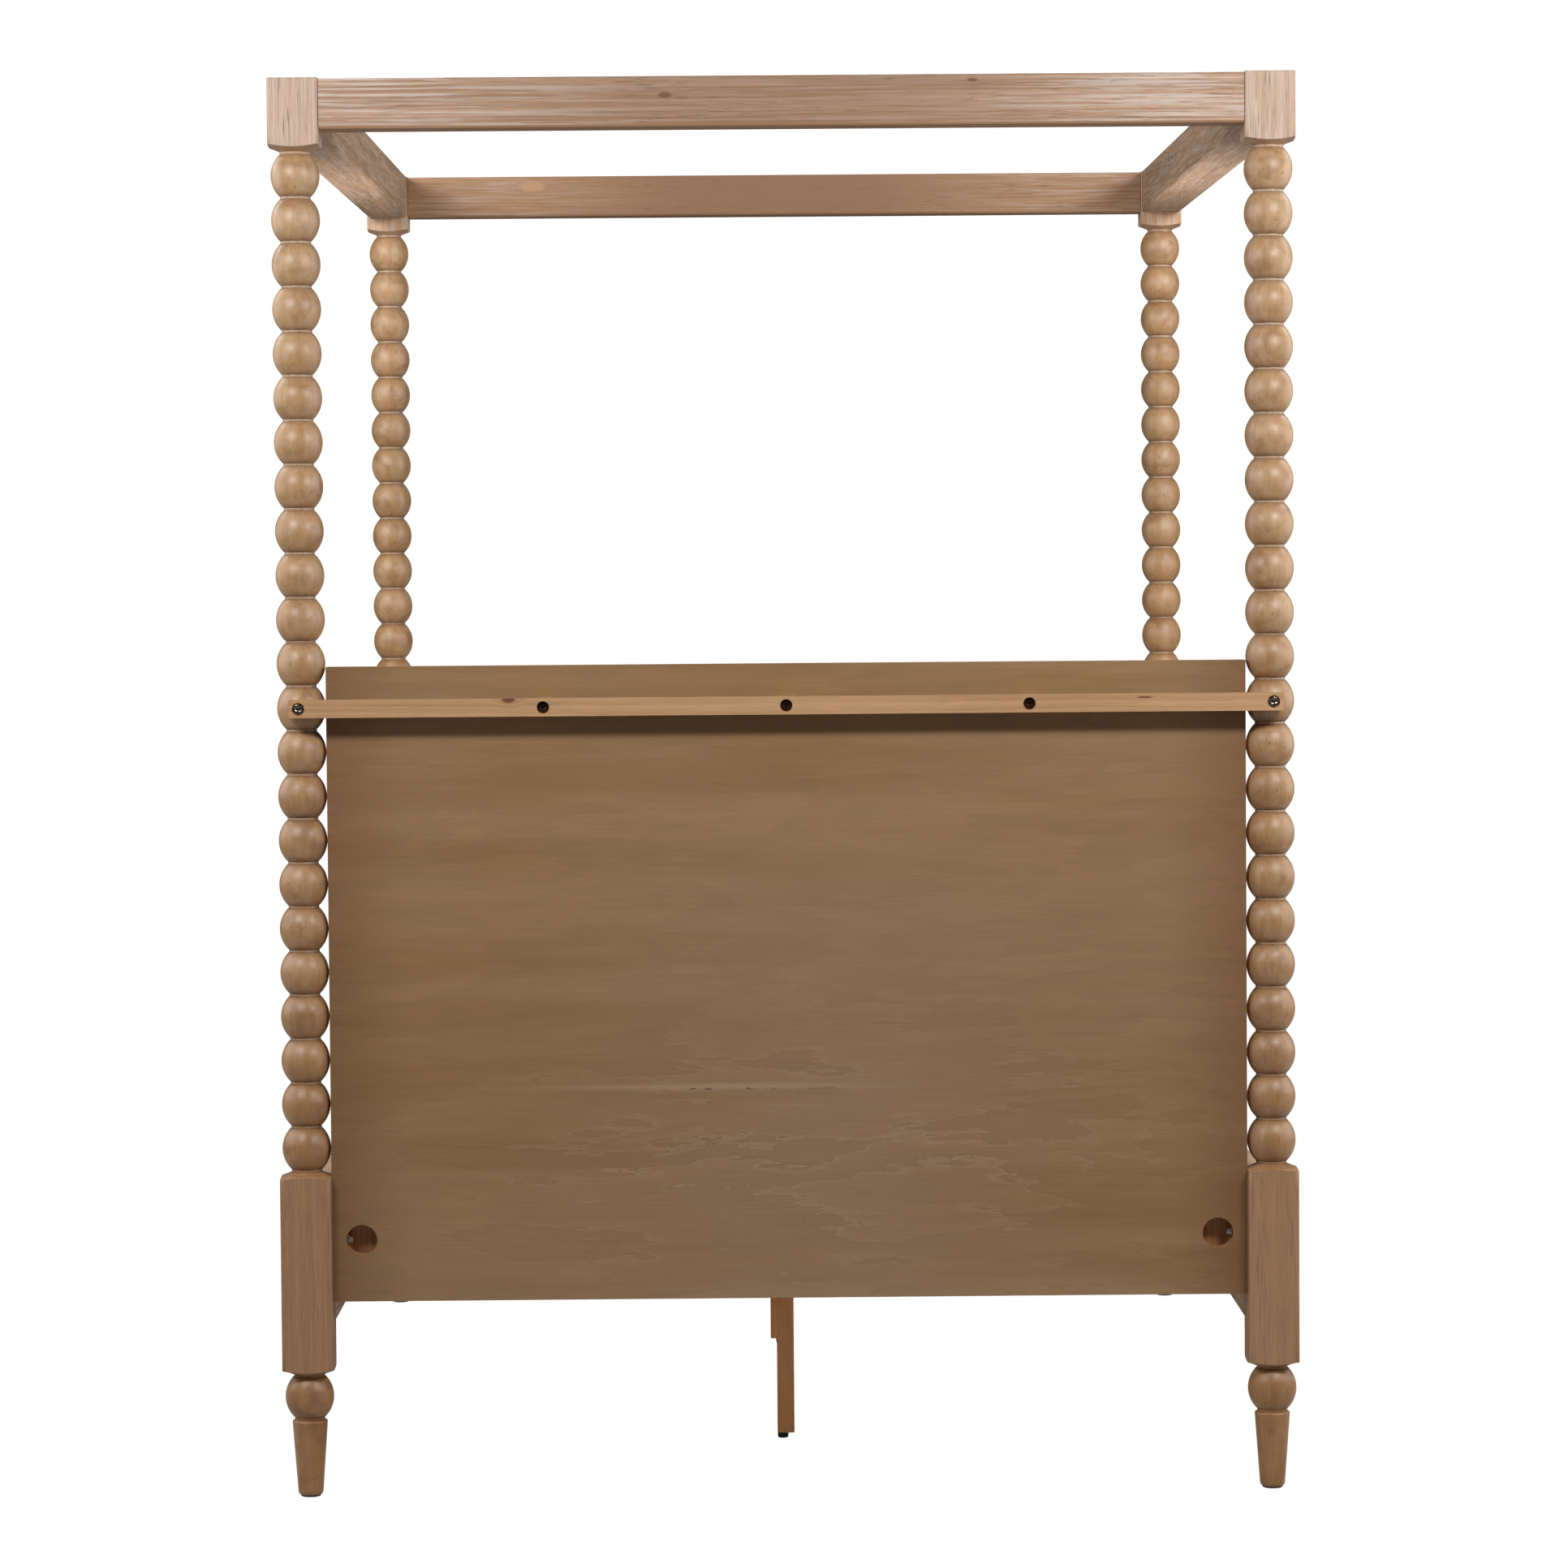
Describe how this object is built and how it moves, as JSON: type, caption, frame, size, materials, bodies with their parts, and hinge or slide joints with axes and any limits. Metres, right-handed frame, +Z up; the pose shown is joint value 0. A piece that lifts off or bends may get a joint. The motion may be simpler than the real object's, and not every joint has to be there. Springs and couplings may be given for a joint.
{
  "type": "four poster bed",
  "caption": "Full-size four poster bed with bobbin-turned posts, a canopy frame, a plain headboard, bolt-on bed rails, a slatted base and centre support legs.",
  "frame": {"origin": "on the floor, under the middle of the bed's bounding box", "axes": "+Z up; +Y from the headboard to the foot; +X to the right as seen from behind the headboard"},
  "size_m": [1.65, 2.2426, 2.2954],
  "materials": {
    "post_wood": "satin, turned, golden tan with limed grain on the square blocks",
    "rail_wood": "limed, open pored, pinkish beige",
    "headboard_veneer": "satin olive-brown veneer",
    "core_wood": "plain sawn wood",
    "pine": "planed, unfinished",
    "leg_wood": "stained orange-brown",
    "nickel": "bright nickel plate",
    "zinc_steel": "zinc plated",
    "glide_plastic": "matt",
    "leveller_plastic": "matt black"
  },
  "bodies": {
    "bed": {"head_left_lower_post": "post_wood", "head_right_lower_post": "post_wood", "foot_left_lower_post": "post_wood", "foot_right_lower_post": "post_wood", "head_left_upper_post": "post_wood", "head_right_upper_post": "post_wood", "foot_left_upper_post": "post_wood", "foot_right_upper_post": "post_wood", "post_joining_screws": "zinc_steel", "post_glides": "glide_plastic", "canopy_head_rail": "rail_wood", "canopy_foot_rail": "rail_wood", "canopy_left_rail": "rail_wood", "canopy_right_rail": "rail_wood", "canopy_dowels": "pine", "canopy_bolts": "zinc_steel", "canopy_barrel_nuts": "zinc_steel", "headboard_back_skin": "headboard_veneer", "headboard_front_skin": "headboard_veneer", "headboard_left_stile": "core_wood", "headboard_right_stile": "core_wood", "headboard_cross_rails": "core_wood", "headboard_bolts": "nickel", "headboard_washers": "nickel", "post_inserts": "zinc_steel", "headboard_brace": "pine", "brace_end_bolts": "nickel", "brace_middle_bolts": "nickel", "brace_spacers": "pine", "left_side_rail": "rail_wood", "right_side_rail": "rail_wood", "foot_rail": "rail_wood", "rail_hook_plates": "zinc_steel", "post_catch_plates": "zinc_steel", "left_slat_ledger": "pine", "right_slat_ledger": "pine", "ledger_screws": "zinc_steel", "centre_beam": "pine", "beam_hangers": "zinc_steel", "slat_1": "pine", "slat_2": "pine", "slat_3": "pine", "slat_4": "pine", "slat_5": "pine", "slat_6": "pine", "slat_7": "pine", "slat_8": "pine", "slat_9": "pine", "slat_10": "pine", "slat_screws": "zinc_steel", "head_centre_leg": "leg_wood", "foot_centre_leg": "leg_wood", "leg_plates": "zinc_steel", "leg_hanger_bolts": "zinc_steel", "leg_inserts": "zinc_steel"},
    "head_leveller": {"head_leveller_stem": "zinc_steel", "head_leveller_pad": "leveller_plastic"},
    "foot_leveller": {"foot_leveller_stem": "zinc_steel", "foot_leveller_pad": "leveller_plastic"}
  },
  "joints": [
    {"name": "head_leveller_screw", "type": "slide", "parent": "bed", "child": "head_leveller", "axis": [0, 0, -1], "range_m": [0, 0.015]},
    {"name": "foot_leveller_screw", "type": "slide", "parent": "bed", "child": "foot_leveller", "axis": [0, 0, -1], "range_m": [0, 0.015]}
  ]
}
